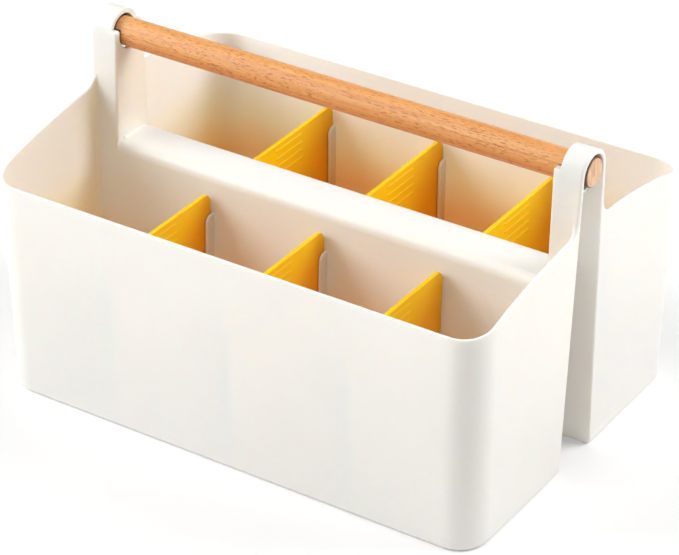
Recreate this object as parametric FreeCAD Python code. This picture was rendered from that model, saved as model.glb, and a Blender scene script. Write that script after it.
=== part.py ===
import FreeCAD, Part
import math
import os

os.makedirs("parts", exist_ok=True)

# Cleaning caddy: a moulded tray of two parallel bins joined by a saddle, a wooden dowel handle
# between two ears, and six lift-out dividers.  Millimetres, +Z up, +X along the handle, origin
# on the floor in the middle of the footprint.

V = FreeCAD.Vector

# ---- driving dimensions ----
rim_length = 340.0          # outside, at the height of the long walls' rim
rim_width = 244.0
rim_height = 144.0
corner_radius = 20.0        # outside vertical corners
wall = 2.3
floor_thickness = 2.5
end_draft = 1.1             # degrees that each moulded face leans
side_draft = 1.0
slot_draft = 2.15

slot_half_at_rim = 12.8     # half the gap between the two bins
leg_thickness = 3.0         # wall between the gap and a bin
saddle_height = 126.5
saddle_thickness = 2.5
saddle_edge_radius = 7.0
saddle_end_radius = 2.0     # in the corner between the saddle and an ear

crown_height = 161.6        # end walls rise to here at the middle of an end
crown_radius = 388.0
crown_blend_radius = 60.0   # where the crown runs out into the level rim
ear_foot_radius = 11.0
ear_inner_x = 152.1         # inner face of an ear
ear_recess = 4.5            # the face above the ledge stands this much further out
ledge_height = 200.0
ledge_edge_radius = 1.8
ear_wall = 2.5
ear_edge_radius = 1.9       # plus slot_edge_radius, less than leg_thickness
ear_edge_height = 190.0     # from here up an ear's outer edge has that radius
ear_inner_edge_radius = 1.5

handle_height = 196.0       # axis of the dowel
handle_diameter = 18.0
handle_length = 342.8
handle_chamfer = 0.8
handle_hole_radius = 10.2
cradle_x = (161.5, 168.0)
cradle_thickness = 1.6      # below the dowel
cradle_top_drop = 3.8       # from the dowel's axis
bulkhead_thickness = 1.6    # closes the gap round the dowel, at the cradle's inner end
screw_x = 165.2
screw_shank = 2.6
screw_head = 5.2
screw_head_height = 2.0
screw_head_edge_radius = 1.1
screw_cross_length = 3.0
screw_cross_width = 0.7
screw_cross_depth = 0.9
screw_bite = 11.0           # how far the screw goes into the dowel
screw_clearance = 0.05      # in the pilot hole
screw_hole_clearance = 0.2  # in the cradle
pilot_end_gap = 0.5
seat_clearance = 0.05
bulkhead_clearance = 0.15

divider_stations = (-83.0, 0.0, 83.0)
divider_thickness = 2.6
divider_top = 113.5
divider_corner_radius = 6.0
divider_foot_radius = 5.0
divider_edge_radius = 0.6
divider_gap = 0.4           # to walls and guide ribs
divider_floor_gap = 0.3

rib_thickness = 1.8
rib_reach = 7.0             # from the wall
rib_top = 99.5
rib_corner_radius = 5.0
rib_edge_radius = 0.55
rib_root = 1.0              # part sunk in the wall and the floor

grip_count = 4
grip_pitch = 5.6
grip_first_drop = 4.9       # first ridge, below the divider's top edge
grip_length = 28.0
grip_radius = 1.2
grip_proud = 0.25

rim_edge_radius = 1.0
inner_rim_edge_radius = 0.9
sharp_half_width = 15.2     # the inner rim is left sharp where it runs out into an ear's side
sharp_from = 160.0
slot_edge_radius = 0.9
bottom_edge_radius = 3.0
bin_corner_radius = 2.0     # bin corners beside the gap
bin_floor_radius = 1.8      # less than the bins' corner radius
slot_roof_radius = 4.0
ear_step_radius = 1.0

block_top = 215.0           # the uncut block reaches above the ears
sky = 230.0                 # above everything
beyond = 200.0              # past both ends


# ---- leaning faces: each returns its distance from the middle at height z ----
def slope(degrees):
    return math.tan(math.radians(degrees))


def half_length(z):
    return rim_length / 2 + (z - rim_height) * slope(end_draft)


def half_width(z):
    return rim_width / 2 + (z - rim_height) * slope(side_draft)


def slot_half(z):
    return slot_half_at_rim - (z - rim_height) * slope(slot_draft)


def spine_half(z):
    return slot_half(z) + leg_thickness


# ---- outline helpers ----
def on_circle(centre, radius, degrees):
    a = math.radians(degrees)
    return (centre[0] + radius * math.cos(a), centre[1] + radius * math.sin(a))


def toward(start, end, distance):
    length = math.hypot(end[0] - start[0], end[1] - start[1])
    return tuple(s + (e - s) * distance / length for s, e in zip(start, end))


def middle_of_arc(centre, radius, start, end):
    """The point half way along the shorter arc."""
    a = math.atan2(start[1] - centre[1], start[0] - centre[0])
    b = math.atan2(end[1] - centre[1], end[0] - centre[0])
    turn = (b - a + math.pi) % (2 * math.pi) - math.pi
    return on_circle(centre, radius, math.degrees(a + turn / 2))


def rounded_polygon(corners, radii, place):
    """Closed wire through the corners, each rounded by its radius (0 keeps it sharp)."""
    spans = []
    count = len(corners)
    for i in range(count):
        before, here, after = corners[i - 1], corners[i], corners[(i + 1) % count]
        if radii[i] == 0:
            spans.append((here, None, here))
            continue
        u = toward((0, 0), (before[0] - here[0], before[1] - here[1]), 1.0)
        w = toward((0, 0), (after[0] - here[0], after[1] - here[1]), 1.0)
        half_angle = math.acos(u[0] * w[0] + u[1] * w[1]) / 2
        reach = radii[i] / math.tan(half_angle)
        start, end = toward(here, before, reach), toward(here, after, reach)
        bisector = (here[0] + u[0] + w[0], here[1] + u[1] + w[1])
        centre = toward(here, bisector, radii[i] / math.sin(half_angle))
        spans.append((start, middle_of_arc(centre, radii[i], start, end), end))
    edges = []
    for i, (start, middle, end) in enumerate(spans):
        if middle is not None:
            edges.append(Part.Arc(place(*start), place(*middle), place(*end)).toShape())
        edges.append(Part.makeLine(place(*end), place(*spans[(i + 1) % count][0])))
    return Part.Wire(edges)


def at_x(x):
    return lambda y, z: V(x, y, z)


def at_y(y):
    return lambda x, z: V(x, y, z)


def at_z(z):
    return lambda x, y: V(x, y, z)


def prism(wire, direction):
    return Part.Face(wire).extrude(direction)


def box_outline(x0, x1, y0, y1):
    return [(x0, y0), (x1, y0), (x1, y1), (x0, y1)]


def mirrored(shape, normal):
    return shape.mirror(V(0, 0, 0), normal)


both_bins = (lambda shape: shape, lambda shape: mirrored(shape, V(0, 1, 0)))
both_ends = (lambda shape: shape, lambda shape: mirrored(shape, V(1, 0, 0)))


def is_near(a, b, tolerance=0.05):
    return abs(a - b) < tolerance


def edge_points(edge, count=5):
    first, last = edge.FirstParameter, edge.LastParameter
    return [edge.valueAt(first + (last - first) * k / (count - 1)) for k in range(count)]


def all_on(test):
    """Picks the edges that pass the test at every one of their points."""
    return lambda edge: all(map(test, edge_points(edge)))


def round_edges(shape, radius_at, is_picked):
    """Round each picked edge; radius_at gives the radius at a point, so it can change."""
    picked = []
    for number, edge in enumerate(shape.Edges, 1):
        if is_picked(edge):
            ends = (edge.valueAt(edge.FirstParameter), edge.valueAt(edge.LastParameter))
            picked.append((number, radius_at(ends[0]), radius_at(ends[1])))
    document = FreeCAD.newDocument("rounding")
    base = document.addObject("Part::Feature", "base")
    base.Shape = shape
    rounding = document.addObject("Part::Fillet", "rounding")
    rounding.Base = base
    rounding.Edges = picked
    document.recompute()
    result = rounding.Shape.copy()
    FreeCAD.closeDocument(document.Name)
    return result


# ---- tray ----
def is_on_outer_skin(p):
    from_side_x = half_length(p.z) - abs(p.x)
    from_side_y = half_width(p.z) - abs(p.y)
    in_corner = from_side_x < corner_radius and from_side_y < corner_radius
    if in_corner:
        dx, dy = corner_radius - from_side_x, corner_radius - from_side_y
        return is_near(math.hypot(dx, dy), corner_radius)
    return is_near(from_side_x, 0) or is_near(from_side_y, 0)


def ear_outline():
    """Closed YZ wire of everything above the rim: level walls, crowned ends and the two ears."""
    lean = math.radians(slot_draft)
    normal = (math.cos(lean), math.sin(lean))
    along = (-normal[1], normal[0])
    face_offset = spine_half(rim_height) * normal[0] + rim_height * normal[1]
    ear_centre = (0.0, handle_height)
    ear_radius = face_offset - handle_height * normal[1]
    crown_centre = (0.0, crown_height - crown_radius)

    blend_z = rim_height + crown_blend_radius
    reach = crown_radius + crown_blend_radius
    blend_centre = (math.sqrt(reach ** 2 - (blend_z - crown_centre[1]) ** 2), blend_z)
    level_end = (blend_centre[0], rim_height)
    crown_low = toward(crown_centre, blend_centre, crown_radius)

    reach = crown_radius + ear_foot_radius
    across = face_offset + ear_foot_radius - crown_centre[1] * normal[1]
    up = math.sqrt(reach ** 2 - across ** 2)
    foot_centre = tuple(c + across * n + up * a for c, n, a in zip(crown_centre, normal, along))
    crown_high = toward(crown_centre, foot_centre, crown_radius)
    foot_top = tuple(f - ear_foot_radius * n for f, n in zip(foot_centre, normal))
    ear_side = tuple(c + ear_radius * n for c, n in zip(ear_centre, normal))
    ear_top = (0.0, handle_height + ear_radius)

    arcs = [
        (level_end, middle_of_arc(blend_centre, crown_blend_radius, level_end, crown_low), crown_low),
        (crown_low, middle_of_arc(crown_centre, crown_radius, crown_low, crown_high), crown_high),
        (crown_high, middle_of_arc(foot_centre, ear_foot_radius, crown_high, foot_top), foot_top),
        (ear_side, middle_of_arc(ear_centre, ear_radius, ear_side, ear_top), ear_top),
    ]
    lines = [(foot_top, ear_side), (level_end, (beyond, rim_height)), ((beyond, rim_height), (beyond, sky))]
    edges = []
    for side in (1, -1):
        place = lambda p: V(-beyond, side * p[0], p[1])
        edges += [Part.Arc(*map(place, arc)).toShape() for arc in arcs]
        edges += [Part.makeLine(*map(place, line)) for line in lines]
    edges.append(Part.makeLine(V(-beyond, -beyond, sky), V(-beyond, beyond, sky)))
    return Part.Wire(Part.__sortEdges__(edges))


def outer_block():
    sections = []
    for z in (0.0, block_top):
        corners = box_outline(-half_length(z), half_length(z), -half_width(z), half_width(z))
        sections.append(rounded_polygon(corners, [corner_radius] * 4, at_z(z)))
    block = Part.makeLoft(sections, True, True)
    block = block.makeFillet(bottom_edge_radius, [e for e in block.Edges if e.BoundBox.ZMax < 0.01])
    block = block.cut(prism(ear_outline(), V(2 * beyond, 0, 0))).removeSplitter()

    def outer_radius(p):
        return ear_edge_radius if p.z > ear_edge_height else rim_edge_radius

    def is_on_outer_rim(p):
        return is_on_outer_skin(p) and p.z > rim_height - 0.05

    return round_edges(block, outer_radius, all_on(is_on_outer_rim))


def bin_hollow():
    """The hollow of the rear bin, open upwards."""
    sections = []
    for z in (floor_thickness, sky):
        x = half_length(z) - wall
        corners = box_outline(-x, x, spine_half(z), half_width(z) - wall)
        outer, inner = corner_radius - wall, bin_corner_radius
        sections.append(rounded_polygon(corners, [inner, inner, outer, outer], at_z(z)))
    hollow = Part.makeLoft(sections, True, True)
    low = [e for e in hollow.Edges if e.BoundBox.ZMax < floor_thickness + 0.01]
    return hollow.makeFillet(bin_floor_radius, low)


def space_between_ears():
    upper = ear_inner_x + ear_recess
    foot = saddle_height
    corners = [
        (-ear_inner_x, foot), (ear_inner_x, foot), (ear_inner_x, ledge_height), (upper, ledge_height),
        (upper, sky), (-upper, sky), (-upper, ledge_height), (-ear_inner_x, ledge_height),
    ]
    radii = [saddle_end_radius, saddle_end_radius, 0, 0, 0, 0, 0, 0]
    width = 2 * spine_half(0)
    return prism(rounded_polygon(corners, radii, at_y(-width / 2)), V(0, width, 0))


def ledge_rounding():
    """What to take off the inner edge of one ear's ledge to round it."""
    low = ledge_height - ledge_edge_radius
    width = 2 * spine_half(0)
    corner = Part.makeBox(ledge_edge_radius, width, ledge_edge_radius, V(ear_inner_x, -width / 2, low))
    centre = V(ear_inner_x + ledge_edge_radius, -width / 2, low)
    return corner.cut(Part.makeCylinder(ledge_edge_radius, width, centre, V(0, 1, 0)))


def saddle_rounding():
    """What to take off the rear edge of the saddle, between the ears, to round it."""
    lean = math.radians(slot_draft)
    place = at_x(-ear_inner_x)
    z = saddle_height - saddle_edge_radius
    y = spine_half(z) - saddle_edge_radius / math.cos(lean)
    top = (y, saddle_height)
    side = on_circle((y, z), saddle_edge_radius, slot_draft)
    middle = middle_of_arc((y, z), saddle_edge_radius, top, side)
    outside, over = side[0] + 1, saddle_height + saddle_end_radius
    corners = [place(*p) for p in (side, (outside, side[1]), (outside, over), (y, over), top)]
    edges = [Part.makeLine(*ends) for ends in zip(corners, corners[1:])]
    edges.append(Part.Arc(corners[-1], place(*middle), corners[0]).toShape())
    return prism(Part.Wire(edges), V(2 * ear_inner_x, 0, 0))


def slot_prism(x0, x1, roof, roof_radius):
    """The gap between the bins, up to a rounded roof."""
    corners = [(-slot_half(-1), -1), (slot_half(-1), -1), (slot_half(roof), roof), (-slot_half(roof), roof)]
    return prism(rounded_polygon(corners, [0, 0, roof_radius, roof_radius], at_x(x0)), V(x1 - x0, 0, 0))


def arch_radius():
    return slot_half(handle_height) * math.cos(math.radians(slot_draft))


def arch_prism(x0, x1):
    """The gap where it opens through an ear: its leaning sides run tangent into a round arch."""
    lean = math.radians(slot_draft)
    radius = arch_radius()
    low = (slot_half(-1), -1)
    side = (radius * math.cos(lean), handle_height + radius * math.sin(lean))
    place = at_x(x0)
    corners = [place(-low[0], low[1]), place(*low), place(*side), place(-side[0], side[1])]
    edges = [Part.makeLine(corners[i - 1], corners[i]) for i in (0, 1, 2)]
    edges.append(Part.Arc(corners[2], place(0, handle_height + radius), corners[3]).toShape())
    return prism(Part.Wire(Part.__sortEdges__(edges)), V(x1 - x0, 0, 0))


def cradle():
    """Web under one end of the dowel, shaped to it, with a hole for the screw."""
    x0, x1 = cradle_x
    bottom = handle_height - handle_diameter / 2 - cradle_thickness
    top = handle_height - cradle_top_drop
    corners = [
        (-slot_half(bottom) - 1, bottom), (slot_half(bottom) + 1, bottom),
        (slot_half(top) + 1, top), (-slot_half(top) - 1, top),
    ]
    web = prism(rounded_polygon(corners, [0] * 4, at_x(x0)), V(x1 - x0, 0, 0))
    seat_radius = handle_diameter / 2 + seat_clearance
    seat = Part.makeCylinder(seat_radius, x1 - x0, V(x0, 0, handle_height), V(1, 0, 0))
    hole_radius = screw_shank / 2 + screw_hole_clearance
    hole = Part.makeCylinder(hole_radius, cradle_thickness + 2, V(screw_x, 0, bottom - 1))
    return web.cut(seat).cut(hole)


def bulkhead():
    """Ring between the dowel and an ear's arch, sunk in the ear; it stops at the cradle's underside."""
    start = V(cradle_x[0], 0, handle_height)
    ring = Part.makeCylinder(arch_radius() + 1, bulkhead_thickness, start, V(1, 0, 0))
    low = Part.makeBox(beyond, beyond, handle_height, V(0, -beyond / 2, 0))
    low.translate(V(0, 0, -handle_diameter / 2 - cradle_thickness))
    bore = Part.makeCylinder(handle_diameter / 2 + bulkhead_clearance, bulkhead_thickness, start, V(1, 0, 0))
    return ring.cut(low).cut(bore)


def rounded_rib(corners, radii, x):
    rib = prism(rounded_polygon(corners, radii, at_x(x)), V(rib_thickness, 0, 0))
    return rib.makeFillet(rib_edge_radius, [e for e in rib.Edges if e.BoundBox.XLength < 0.01])


def guide_rib(x, wall_face, inward):
    """One upright rib; wall_face(z) is the wall's distance from the middle, inward is +1 or -1."""
    low = floor_thickness - rib_root
    corners = [
        (wall_face(low) - inward * rib_root, low), (wall_face(low) + inward * rib_reach, low),
        (wall_face(rib_top) + inward * rib_reach, rib_top), (wall_face(rib_top) - inward * rib_root, rib_top),
    ]
    return rounded_rib(corners, [0, 0, rib_corner_radius, 0], x)


def outer_wall_face(z):
    return half_width(z) - wall


def guide_ribs():
    """A pair of ribs on both walls of the rear bin at each divider."""
    ribs = []
    for station in divider_stations:
        for side in (1, -1):
            x = station + side * (divider_thickness / 2 + divider_gap + rib_thickness / 2) - rib_thickness / 2
            ribs += [guide_rib(x, outer_wall_face, -1), guide_rib(x, spine_half, 1)]
    return ribs


def is_on_saddle_edge(p):
    """The edges that run along the saddle, sweep up and follow an ear's inner face."""
    x = abs(p.x)
    sweep_x, sweep_z = ear_inner_x - saddle_end_radius, saddle_height + saddle_end_radius
    if not is_near(abs(p.y), spine_half(p.z)) or p.z > ledge_height or x > ear_inner_x + 0.05:
        return False
    if x < sweep_x:
        return is_near(p.z, saddle_height)
    if p.z < sweep_z:
        return is_near(math.hypot(x - sweep_x, p.z - sweep_z), saddle_end_radius)
    return is_near(x, ear_inner_x)


def is_on_inner_rim(p):
    from_end = half_length(p.z) - wall - abs(p.x)
    from_side = half_width(p.z) - wall - abs(p.y)
    from_spine = abs(p.y) - spine_half(p.z)
    outer, inner = corner_radius - wall, bin_corner_radius
    if p.z < rim_height - 0.05 or min(from_end, from_side, from_spine) < -0.05:
        return False
    if from_end < outer and from_side < outer:
        return is_near(math.hypot(outer - from_end, outer - from_side), outer)
    if from_end < inner and from_spine < inner:
        return is_near(math.hypot(inner - from_end, inner - from_spine), inner)
    return is_near(from_end, 0) or is_near(from_side, 0)


def is_on_slot_mouth(p):
    """Where the gap and the ear's arch meet the end faces, and along the gap's bottom edges."""
    on_wall = is_near(abs(p.y), slot_half(p.z))
    if p.z < bottom_edge_radius + 0.1:
        return on_wall
    on_arch = is_near(math.hypot(p.y, p.z - handle_height), arch_radius()) and p.z > handle_height
    return is_near(abs(p.x), half_length(p.z)) and (on_wall or on_arch)


def is_inner_rim_edge(edge):
    """Leaves out the edges that cutting out the sharp blocks made."""
    points = edge_points(edge)
    on_block_side = all(is_near(abs(p.y), sharp_half_width) for p in points)
    on_block_floor = all(is_near(p.z, sharp_from) for p in points)
    return all(map(is_on_inner_rim, points)) and not on_block_side and not on_block_floor


def with_rounded_inner_rim(shell):
    """Rounds the inner rim of both bins, up to just short of where it vanishes in an ear's side."""
    block = Part.makeBox(50, 2 * sharp_half_width, 100, V(ear_inner_x - 5, -sharp_half_width, sharp_from))
    blocks = [place(block) for place in both_ends]
    kept_sharp = shell.common(blocks[0].fuse(blocks[1]))
    rounded = round_edges(shell.cut(blocks), lambda p: inner_rim_edge_radius, is_inner_rim_edge)
    return rounded.fuse(kept_sharp).removeSplitter()


def rounded_shell():
    """The two bins, the saddle and the ears, open below along the gap, with their edges rounded."""
    shell = outer_block()
    for place in both_bins:
        shell = shell.cut(place(bin_hollow()))
    shell = shell.cut(space_between_ears()).removeSplitter()
    shell = round_edges(shell, lambda p: ear_inner_edge_radius, all_on(is_on_saddle_edge))
    shell = shell.cut([place(saddle_rounding()) for place in both_bins]).removeSplitter()
    shell = with_rounded_inner_rim(shell)
    shell = shell.cut(slot_prism(-beyond, beyond, saddle_height - saddle_thickness, slot_roof_radius))
    ear_face = ear_inner_x + ear_recess
    for place in both_ends:
        shell = shell.cut(place(ledge_rounding())).cut(place(arch_prism(ear_face, beyond)))
    shell = shell.removeSplitter()
    shell = shell.makeFillet(slot_edge_radius, list(filter(all_on(is_on_slot_mouth), shell.Edges)))
    step = slot_prism(ear_inner_x + ear_wall, ear_face + 0.5, ledge_height - ear_wall, ear_step_radius)
    for place in both_ends:
        shell = shell.cut(place(step))
    return shell.removeSplitter()


def tray():
    body = rounded_shell()
    hole_length = ear_recess + 2
    start = V(ear_inner_x - 1, 0, handle_height)
    hole = Part.makeCylinder(handle_hole_radius, hole_length, start, V(1, 0, 0))
    for place in both_ends:
        body = body.cut(place(hole)).fuse([place(cradle()), place(bulkhead())])
    for place in both_bins:
        body = body.fuse([place(rib) for rib in guide_ribs()])
    return body.removeSplitter()


# ---- handle ----
def dowel():
    """Turned along X, with a pilot hole from below for each screw."""
    start = V(-handle_length / 2, 0, handle_height)
    rod = Part.makeCylinder(handle_diameter / 2, handle_length, start, V(1, 0, 0))
    rims = [e for e in rod.Edges if isinstance(e.Curve, Part.Circle)]
    rod = rod.makeChamfer(handle_chamfer, rims)
    bottom = handle_height - handle_diameter / 2
    for x in (-screw_x, screw_x):
        depth = screw_bite + pilot_end_gap
        pilot = Part.makeCylinder(screw_shank / 2 + screw_clearance, depth + 1, V(x, 0, bottom - 1))
        rod = rod.cut(pilot)
    return rod


def screw(x):
    """Pan-head screw, head down, up through a cradle into the dowel."""
    seat = handle_height - handle_diameter / 2 - cradle_thickness
    low = seat - screw_head_height
    head = Part.makeCylinder(screw_head / 2, screw_head_height, V(x, 0, low))
    head = head.makeFillet(screw_head_edge_radius, [e for e in head.Edges if is_near(e.BoundBox.ZMax, low)])
    shank = Part.makeCylinder(screw_shank / 2, cradle_thickness + screw_bite, V(x, 0, seat))
    corner = V(x - screw_cross_length / 2, -screw_cross_width / 2, low)
    arm = Part.makeBox(screw_cross_length, screw_cross_width, screw_cross_depth, corner)
    cross = arm.fuse(arm.copy().rotated(V(x, 0, 0), V(0, 0, 1), 90))
    return head.fuse(shank).cut(cross)


# ---- dividers ----
def grip_ridge(x, y, z):
    """A low half-round bar with rounded ends."""
    start = V(x, y - grip_length / 2, z)
    bar = Part.makeCylinder(grip_radius, grip_length, start, V(0, 1, 0))
    ends = [Part.makeSphere(grip_radius, start + V(0, offset, 0)) for offset in (0, grip_length)]
    return bar.fuse(ends)


def divider(x):
    """Plate across the rear bin, with finger ridges near the top of both faces."""
    foot = floor_thickness + divider_floor_gap

    def near_wall(z):
        return outer_wall_face(z) - divider_gap

    def near_spine(z):
        return spine_half(z) + divider_gap

    corners = [
        (near_spine(foot), foot), (near_wall(foot), foot),
        (near_wall(divider_top), divider_top), (near_spine(divider_top), divider_top),
    ]
    radii = [divider_foot_radius] * 2 + [divider_corner_radius] * 2
    left = x - divider_thickness / 2
    plate = prism(rounded_polygon(corners, radii, at_x(left)), V(divider_thickness, 0, 0))
    plate = plate.makeFillet(divider_edge_radius, [e for e in plate.Edges if e.BoundBox.XLength < 0.01])
    middle = (near_wall(divider_top) + near_spine(divider_top)) / 2
    sink = divider_thickness / 2 + grip_proud - grip_radius
    ridges = [
        grip_ridge(x + side * sink, middle, divider_top - grip_first_drop - row * grip_pitch)
        for side in (1, -1) for row in range(grip_count)
    ]
    return plate.fuse(ridges).removeSplitter()


def save(shape, name):
    shape.exportStep(f"parts/{name}.step")


save(tray(), "tray")
save(dowel(), "handle_dowel")
save(Part.makeCompound([screw(x) for x in (-screw_x, screw_x)]), "handle_screws")
for place_name, x in zip(("left", "middle", "right"), divider_stations):
    rear = divider(x)
    save(rear, f"divider_rear_{place_name}")
    save(mirrored(rear, V(0, 1, 0)), f"divider_front_{place_name}")
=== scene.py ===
import math

import bpy
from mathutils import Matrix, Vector


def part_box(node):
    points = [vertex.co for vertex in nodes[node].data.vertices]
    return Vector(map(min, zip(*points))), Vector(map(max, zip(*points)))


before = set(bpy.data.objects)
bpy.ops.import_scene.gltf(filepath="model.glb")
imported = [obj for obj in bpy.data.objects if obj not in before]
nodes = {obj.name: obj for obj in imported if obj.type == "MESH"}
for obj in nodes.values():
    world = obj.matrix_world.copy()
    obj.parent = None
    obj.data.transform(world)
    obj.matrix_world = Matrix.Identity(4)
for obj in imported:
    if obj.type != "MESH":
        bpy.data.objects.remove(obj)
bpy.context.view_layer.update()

# Looks for a cleaning caddy: a warm white moulded tray, golden yellow dividers and a beech dowel.
# Metres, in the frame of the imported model.

dividers = [name for name in nodes if name.startswith("divider_")]

MM = 0.001
dowel_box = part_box("handle_dowel")
dowel_axis = (dowel_box[0][2] + dowel_box[1][2]) / 2
dowel_end = dowel_box[1][0]

# The tray's leaning walls, each as its distance from the middle at the rim, and its lean.
rim_height = 144 * MM
half_length, half_width, spine_half = 170 * MM, 122 * MM, 15.8 * MM
wall = 2.3 * MM
inner_corner = 17.7 * MM
end_slope, side_slope, spine_slope = (math.tan(math.radians(a)) for a in (1.1, 1.0, 2.15))

# The ears: inner face below the ledge and above it, and what is open round the dowel.
ledge = 200 * MM
ear_face, upper_face = 152.1 * MM, 156.6 * MM
hole_reach, arch_reach = 10.35 * MM, 10.85 * MM
cradle_drop = 9.4 * MM

# Cells per metre of the plastic's noises.
flow_scale, wave_scale, scuff_scale, rub_scale, grain_scale = 9.0, 38.0, 140.0, 300.0, 2600.0
grain_depth = 0.00002

# The same for the wood's and the zinc's, along X, Y and Z.
ring_scale = (5.0, 260.0, 330.0)
fibre_scale = (45.0, 2200.0, 2200.0)
patch_scale = (22.0, 90.0, 90.0)
fleck_scale = (260.0, 2300.0, 1500.0)
pore_scale = (500.0, 5200.0, 5200.0)
growth_scale = (60.0, 420.0, 70.0)
ray_scale = (60.0, 3600.0, 420.0)
cloud_scale = 260.0
scratch_scale = (900.0, 6000.0, 900.0)

white_room = 0.11           # what the world adds as light; the backdrop itself is seen at 1.0
light_aim = Vector((0, 0, 0.08))
light_distance = 2.2
soft_boxes = {              # azimuth, elevation, (width, height), watts
    "left": (-58, 34, (1.3, 1.6), 42),
    "right": (130, 40, (1.3, 1.6), 42),
    "front": (20, 65, (1.4, 1.4), 13),
}
floor_half = 6.0
floor_grey = 0.82
floor_glow = (0.12, 0.8)    # near the caddy and far away
glow_from, glow_to = 0.7, 2.6


def srgb(r, g, b):
    """An opaque colour given as 0 to 255 screen values, made linear."""
    def linear(v):
        v /= 255.0
        return v / 12.92 if v <= 0.04045 else ((v + 0.055) / 1.055) ** 2.4

    return (linear(r), linear(g), linear(b), 1.0)


def direction(azimuth, elevation):
    """Unit vector from the caddy, in degrees round from the front towards +X, and up."""
    a, e = math.radians(azimuth), math.radians(elevation)
    return Vector((math.sin(a) * math.cos(e), -math.cos(a) * math.cos(e), math.sin(e)))


# ---- small node-tree helpers ----
class Tree:
    """A material's node tree, with one method per kind of node this scene uses."""

    def __init__(self, name):
        self.material = bpy.data.materials.new(name)
        self.material.use_nodes = True
        self.nodes = self.material.node_tree.nodes
        self.links = self.material.node_tree.links
        self.shader = self.nodes["Principled BSDF"]
        self.place = self.add("ShaderNodeTexCoord").outputs["Object"]
        self.axes = self.add("ShaderNodeSeparateXYZ", {"Vector": self.place}).outputs

    def add(self, kind, inputs=None, **settings):
        node = self.nodes.new(kind)
        for key, value in settings.items():
            setattr(node, key, value)
        for key, value in (inputs or {}).items():
            self.feed(node.inputs[key], value)
        return node

    def feed(self, socket, value):
        if isinstance(value, bpy.types.NodeSocket):
            self.links.new(value, socket)
        else:
            socket.default_value = value

    def shade(self, inputs):
        for key, value in inputs.items():
            self.feed(self.shader.inputs[key], value)

    def size(self, axis):
        return self.math("ABSOLUTE", self.axes[axis])

    def scaled(self, scale, turn=(0.0, 0.0, 0.0)):
        node = self.add("ShaderNodeMapping", {"Vector": self.place, "Scale": scale, "Rotation": turn})
        return node.outputs["Vector"]

    def noise(self, scale, detail=2.0, roughness=0.5, vector=None, distortion=0.0):
        node = self.add("ShaderNodeTexNoise", {
            "Vector": vector or self.place, "Scale": scale, "Detail": detail,
            "Roughness": roughness, "Distortion": distortion,
        })
        return node.outputs["Fac"]

    def stretched_noise(self, scale, turn=(0.0, 0.0, 0.0), **settings):
        return self.noise(1.0, vector=self.scaled(scale, turn), **settings)

    def math(self, operation, a, b=0.0, clamp=False):
        node = self.add("ShaderNodeMath", {0: a, 1: b}, operation=operation, use_clamp=clamp)
        return node.outputs[0]

    def product(self, a, b):
        return self.math("MULTIPLY", a, b)

    def total(self, first, *others, clamp=False):
        for value in others:
            first = self.math("ADD", first, value, clamp=clamp)
        return first

    def ramp(self, value, stops):
        node = self.add("ShaderNodeValToRGB", {"Fac": value})
        elements = node.color_ramp.elements
        while len(elements) < len(stops):
            elements.new(0.5)
        for element, (position, colour) in zip(elements, stops):
            element.position = position
            element.color = colour
        return node.outputs["Color"]

    def mix(self, share, a, b, blend="MIX"):
        node = self.add("ShaderNodeMix", data_type="RGBA", blend_type=blend)
        self.feed(node.inputs["Factor"], share)
        self.feed(node.inputs["A"], a)
        self.feed(node.inputs["B"], b)
        return node.outputs["Result"]

    def range(self, value, low, high, to_low=0.0, to_high=1.0):
        node = self.add("ShaderNodeMapRange", {
            "Value": value, "From Min": low, "From Max": high, "To Min": to_low, "To Max": to_high,
        })
        return node.outputs["Result"]

    def vector_math(self, operation, a, b=(0.0, 0.0, 0.0)):
        return self.add("ShaderNodeVectorMath", {0: a, 1: b}, operation=operation).outputs["Value"]

    def bump(self, height, distance, strength=1.0, normal=None):
        inputs = {"Height": height, "Distance": distance, "Strength": strength}
        if normal is not None:
            inputs["Normal"] = normal
        return self.add("ShaderNodeBump", inputs).outputs["Normal"]


def dress(names, material):
    for name in names:
        for slot in nodes[name].material_slots:
            slot.material = material


# ---- materials ----
def edge_mask(t, reach):
    """1 along sharp edges and 0 on open faces, from how far a rounded normal turns away."""
    rounded = t.add("ShaderNodeBevel", {"Radius": reach}, samples=4).outputs["Normal"]
    true = t.add("ShaderNodeNewGeometry").outputs["Normal"]
    return t.range(t.vector_math("DOT_PRODUCT", rounded, true), 0.98, 0.75)


def moulded_plastic(name, tone, roughness, edge_wear_and_highlight):
    """Injection-moulded polypropylene; tone(tree, flow) gives its colour, painted shade included, before
    lighter edges (part wear, part painted highlight) and the rubbed foot are added.
    """
    t = Tree(name)
    flow = t.noise(flow_scale, detail=3.0, roughness=0.55)
    grain = t.noise(grain_scale, roughness=0.6)
    waves = t.noise(wave_scale, detail=1.0)
    scuff_way = t.scaled((1.0, 9.0, 9.0), (0.3, 0.5, 0.8))
    scuffs = t.range(t.noise(scuff_scale, detail=1.0, roughness=0.4, vector=scuff_way), 0.66, 0.72)
    edges = edge_mask(t, 0.8 * MM)
    foot = t.range(t.axes["Z"], 2.4 * MM, 0.4 * MM)
    rubbed = t.product(foot, t.range(t.noise(rub_scale, detail=3.0), 0.35, 0.6))
    # Lighter edges: partly wear, partly a painted highlight along rims and divider tops.
    colour = t.mix(t.product(edges, 0.35), tone(t, flow), edge_wear_and_highlight)
    colour = t.mix(t.product(rubbed, 0.25), colour, (0.42, 0.39, 0.35, 1.0))
    satin = t.total(
        t.range(grain, 0.3, 0.7, -0.03, 0.03), t.range(flow, 0.3, 0.7, roughness, roughness + 0.05),
        t.product(scuffs, 0.10), t.product(rubbed, 0.15),
    )
    satin = t.math("SUBTRACT", satin, t.product(edges, 0.06), clamp=True)
    sink = t.bump(waves, 0.12 * MM, 0.35)
    scratched = t.bump(scuffs, -0.01 * MM, 0.5, sink)
    t.shade({
        "Base Color": colour, "Roughness": satin, "Normal": t.bump(grain, grain_depth, 0.5, scratched),
    })
    return t


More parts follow.
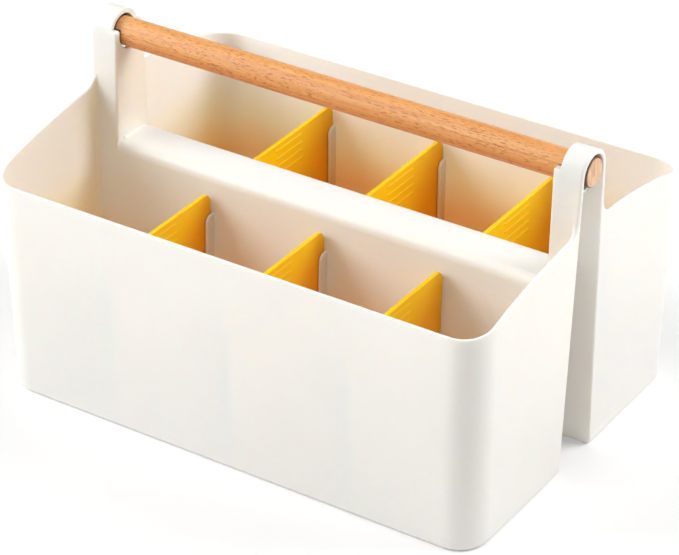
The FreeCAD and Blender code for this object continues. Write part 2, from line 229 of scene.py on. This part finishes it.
def dowel_gap_shade(t):
    """1 on the walls of the narrow gap round the dowel inside the ears, where a dark painted shade
    stands in for the shadow in the gap.
    """
    up = t.math("SUBTRACT", t.axes["Z"], dowel_axis)
    radius = t.math("SQRT", t.total(t.math("POWER", up, 2.0), t.math("POWER", t.size("Y"), 2.0)))
    reach = t.range(t.size("X"), upper_face - 0.3 * MM, upper_face + 0.1 * MM, hole_reach, arch_reach)
    near = t.range(t.math("SUBTRACT", reach, radius), 0.0, 0.25 * MM)
    above_cradle = t.range(up, -cradle_drop - 0.2 * MM, -cradle_drop + 0.2 * MM)
    inward = t.range(t.size("X"), ear_face + 0.4 * MM, ear_face + 1.0 * MM)
    return t.product(t.product(near, above_cradle), inward)


def inside_bins(t):
    """1 on the faces inside the bins, 0 outside, from the distance to the rounded inner outline."""
    lean = t.math("SUBTRACT", t.axes["Z"], rim_height)
    end_face = t.total(t.product(lean, end_slope), half_length - wall - inner_corner)
    side_face = t.total(t.product(lean, side_slope), half_width - wall - inner_corner)
    spine_face = t.math("SUBTRACT", spine_half, t.product(lean, spine_slope))
    past_end = t.math("SUBTRACT", t.size("X"), end_face)
    past_side = t.math("SUBTRACT", t.size("Y"), side_face)
    corner = t.add("ShaderNodeCombineXYZ", {
        "X": t.math("MAXIMUM", past_end, 0.0), "Y": t.math("MAXIMUM", past_side, 0.0),
    })
    beyond_corner = t.vector_math("LENGTH", corner.outputs[0])
    flat = t.math("MINIMUM", t.math("MAXIMUM", past_end, past_side), 0.0)
    inside = t.math("SUBTRACT", inner_corner, t.total(beyond_corner, flat))
    inside = t.math("MINIMUM", inside, t.math("SUBTRACT", t.size("Y"), spine_face))
    return t.range(inside, -1.0 * MM, -0.3 * MM)


def tray_tone(t, flow):
    """Warm white outside; inside the bins a painted warm bounce light, strongest half way down, where
    light mostly arrives off the dividers; a dark painted shade in the gap round the dowel.
    """
    outside = t.mix(t.range(flow, 0.3, 0.7), srgb(243, 240, 235), srgb(240, 236, 230))
    z = t.axes["Z"]
    # Painted warm bounce light inside the bins, from just below the rim down to the floor.
    warm = t.ramp(t.range(z, 118 * MM, 8 * MM), [
        (0.0, srgb(254, 249, 243)), (0.28, srgb(255, 239, 217)), (0.52, srgb(255, 211, 154)),
        (0.72, srgb(255, 229, 196)), (0.92, srgb(254, 246, 236)),
    ])
    off_spine = t.range(t.size("Y"), 20 * MM, 42 * MM)
    painted_bounce_reach = t.math("MAXIMUM", off_spine, t.range(z, 85 * MM, 30 * MM))
    colour = t.mix(t.product(inside_bins(t), painted_bounce_reach), outside, warm)
    # Painted shade: dark brown on the walls of the gap round the dowel.
    return t.mix(t.product(dowel_gap_shade(t), 0.92), colour, srgb(62, 22, 10))


def divider_tone(t, flow):
    """Golden yellow, with painted shade: more orange towards the foot and beside the walls."""
    z, y = t.axes["Z"], t.size("Y")
    # Painted shade: deeper orange towards the foot and beside the walls; random flow tone is added on
    # top.
    beside_wall = t.math("MAXIMUM", t.range(y, 80 * MM, 117 * MM), t.range(y, 50 * MM, 18 * MM))
    below_top = t.range(z, 113 * MM, 88 * MM, 0.0, 0.5)
    painted_shade_and_flow = t.total(t.range(z, 115 * MM, 20 * MM), t.product(beside_wall, below_top))
    painted_shade_and_flow = t.total(painted_shade_and_flow, t.range(flow, 0.3, 0.7, -0.08, 0.08), clamp=True)
    return t.ramp(painted_shade_and_flow, [(0.0, srgb(255, 206, 0)), (0.5, srgb(255, 184, 0)), (1.0, srgb(255, 172, 0))])


def sawn_end(t):
    """End grain: soft growth bands crossed by fine rays."""
    turn = (0.35, 0.0, 0.0)
    growth = t.stretched_noise(growth_scale, turn, distortion=0.3)
    rays = t.stretched_noise(ray_scale, turn)
    sawn = t.ramp(growth, [
        (0.35, srgb(208, 158, 120)), (0.5, srgb(236, 198, 160)), (0.62, srgb(220, 174, 135)),
    ])
    return t.mix(t.range(rays, 0.55, 0.68, 0.0, 0.5), sawn, srgb(196, 138, 96))


def beech():
    """Steamed beech: ring bands, fine fibres and short brown ray flecks along the axis, with a painted
    warm shade on the underside and a painted dark shade where it runs inside the ears.
    """
    t = Tree("beech")
    rings = t.stretched_noise(ring_scale, (0.5, 0.0, 0.0), distortion=0.4)
    fibres = t.stretched_noise(fibre_scale, detail=3.0, roughness=0.6)
    patches = t.stretched_noise(patch_scale, detail=1.0)
    flecks = t.stretched_noise(fleck_scale, detail=1.5)
    fleck = t.range(t.math("SUBTRACT", flecks, t.range(patches, 0.3, 0.7, 0.64, 0.56)), 0.0, 0.05)
    pores = t.range(t.stretched_noise(pore_scale), 0.60, 0.68)
    tone = t.ramp(t.range(rings, 0.3, 0.7), [
        (0.0, srgb(222, 151, 93)), (0.45, srgb(235, 170, 106)), (0.7, srgb(240, 181, 116)),
        (1.0, srgb(227, 156, 94)),
    ])
    tone = t.mix(t.range(fibres, 0.35, 0.7, 0.0, 0.45), tone, srgb(206, 136, 78))
    tone = t.mix(t.product(fleck, 0.62), tone, srgb(162, 82, 28))
    tone = t.mix(t.product(pores, 0.25), tone, srgb(176, 106, 56))
    # Painted shade and warm bounce: the underside is darker and more orange.
    painted_underside_shade = t.range(t.axes["Z"], dowel_axis + 5 * MM, dowel_axis - 8 * MM)
    tone = t.mix(painted_underside_shade, tone, (1.0, 0.78, 0.52, 1.0), "MULTIPLY")
    # Painted shade: dark brown where the dowel runs inside the ears.
    mouth = t.range(t.axes["Z"], ledge - 0.2 * MM, ledge + 0.2 * MM, ear_face, upper_face)
    painted_ear_shade = t.range(t.math("SUBTRACT", t.size("X"), mouth), 0.1 * MM, 0.8 * MM, 0.0, 0.85)
    tone = t.mix(painted_ear_shade, tone, srgb(66, 28, 16))
    on_end = t.range(t.size("X"), dowel_end - 0.5 * MM, dowel_end - 0.2 * MM)
    tone = t.mix(on_end, tone, sawn_end(t))
    tone = t.mix(t.product(edge_mask(t, 1.0 * MM), 0.3), tone, srgb(240, 196, 150))
    normal = t.bump(fibres, 0.04 * MM, 0.6)
    t.shade({
        "Base Color": tone,
        "Roughness": t.total(t.range(fibres, 0.3, 0.7, 0.40, 0.50), t.product(fleck, 0.08)),
        "Normal": t.bump(t.total(fleck, pores), -0.03 * MM, 0.5, normal),
    })
    return t


def zinc():
    """Zinc-plated steel, slightly blued and rubbed."""
    t = Tree("zinc_plated_steel")
    cloud = t.noise(cloud_scale, detail=4.0)
    tone = t.ramp(cloud, [(0.3, srgb(150, 154, 160)), (0.7, srgb(196, 197, 196))])
    tone = t.mix(t.product(edge_mask(t, 0.3 * MM), 0.5), tone, srgb(225, 224, 220))
    scratches = t.stretched_noise(scratch_scale, (0.0, 0.0, 0.4))
    t.shade({
        "Base Color": tone, "Metallic": 1.0, "Roughness": t.range(cloud, 0.3, 0.7, 0.24, 0.4),
        "Normal": t.bump(scratches, 0.01 * MM, 0.4),
    })
    return t


white = moulded_plastic("warm_white_polypropylene", tray_tone, 0.34, srgb(250, 249, 246))
white.shade({
    "Subsurface Weight": 0.55, "Subsurface Scale": 6 * MM, "Subsurface Radius": (1.0, 0.62, 0.36),
})
yellow = moulded_plastic("golden_yellow_polypropylene", divider_tone, 0.36, srgb(255, 226, 150))
yellow.shade({
    "Subsurface Weight": 0.45, "Subsurface Scale": 4 * MM, "Subsurface Radius": (1.0, 0.4, 0.05),
    "Specular IOR Level": 0.3,
})

dress(["tray"], white.material)
dress(dividers, yellow.material)
dress(["handle_dowel"], beech().material)
dress(["handle_screws"], zinc().material)


# ---- stage ----
def add_object(name, data):
    obj = bpy.data.objects.new(name, data)
    bpy.context.scene.collection.objects.link(obj)
    return obj


def face_along(obj, way):
    """Turns a light or a camera so that it looks against the direction."""
    obj.rotation_euler = way.to_track_quat("Z", "Y").to_euler()


def floor():
    """White paper that glows a little more with distance, so that it stays pale to the horizon."""
    h = floor_half
    mesh = bpy.data.meshes.new("floor")
    mesh.from_pydata([(-h, -h, 0), (h, -h, 0), (h, h, 0), (-h, h, 0)], [], [(0, 1, 2, 3)])
    paper = Tree("studio_paper")
    from_middle = paper.vector_math("DISTANCE", paper.place)
    paper.shade({
        "Base Color": (floor_grey, floor_grey, floor_grey, 1.0), "Roughness": 0.9,
        "Emission Color": (1.0, 1.0, 1.0, 1.0),
        "Emission Strength": paper.range(from_middle, glow_from, glow_to, *floor_glow),
    })
    mesh.materials.append(paper.material)
    obj = add_object("floor", mesh)


def soft_light(name, azimuth, elevation, size, power):
    way = direction(azimuth, elevation)
    data = bpy.data.lights.new(name, "AREA")
    data.shape = "RECTANGLE"
    data.size, data.size_y = size
    data.energy = power
    obj = add_object(name, data)
    obj.location = light_aim + way * light_distance
    face_along(obj, way)


def white_world():
    """A dim white room that looks fully white where the camera sees past the floor."""
    world = bpy.data.worlds.new("studio")
    world.use_nodes = True
    tree = world.node_tree
    background = tree.nodes["Background"]
    background.inputs["Color"].default_value = (1.0, 1.0, 1.0, 1.0)
    seen = tree.nodes.new("ShaderNodeLightPath").outputs["Is Camera Ray"]
    strength = tree.nodes.new("ShaderNodeMapRange")
    strength.inputs["To Min"].default_value = white_room
    strength.inputs["To Max"].default_value = 1.0
    tree.links.new(seen, strength.inputs["Value"])
    tree.links.new(strength.outputs["Result"], background.inputs["Strength"])
    bpy.context.scene.world = world


def camera():
    """Looks down at the front right corner of the caddy, through a long lens."""
    way = direction(33.14, 31.2)
    distance = 1.77535
    target = Vector((0.01767, -0.0259, 0.0900))
    data = bpy.data.cameras.new("camera")
    data.lens = 158.06
    data.sensor_width = 36.0
    data.sensor_fit = "HORIZONTAL"
    obj = add_object("camera", data)
    obj.location = target + way * distance
    face_along(obj, way)
    bpy.context.scene.camera = obj


floor()
white_world()
for name, settings in soft_boxes.items():
    soft_light(name, *settings)
camera()
bpy.context.scene.view_settings.view_transform = "Standard"
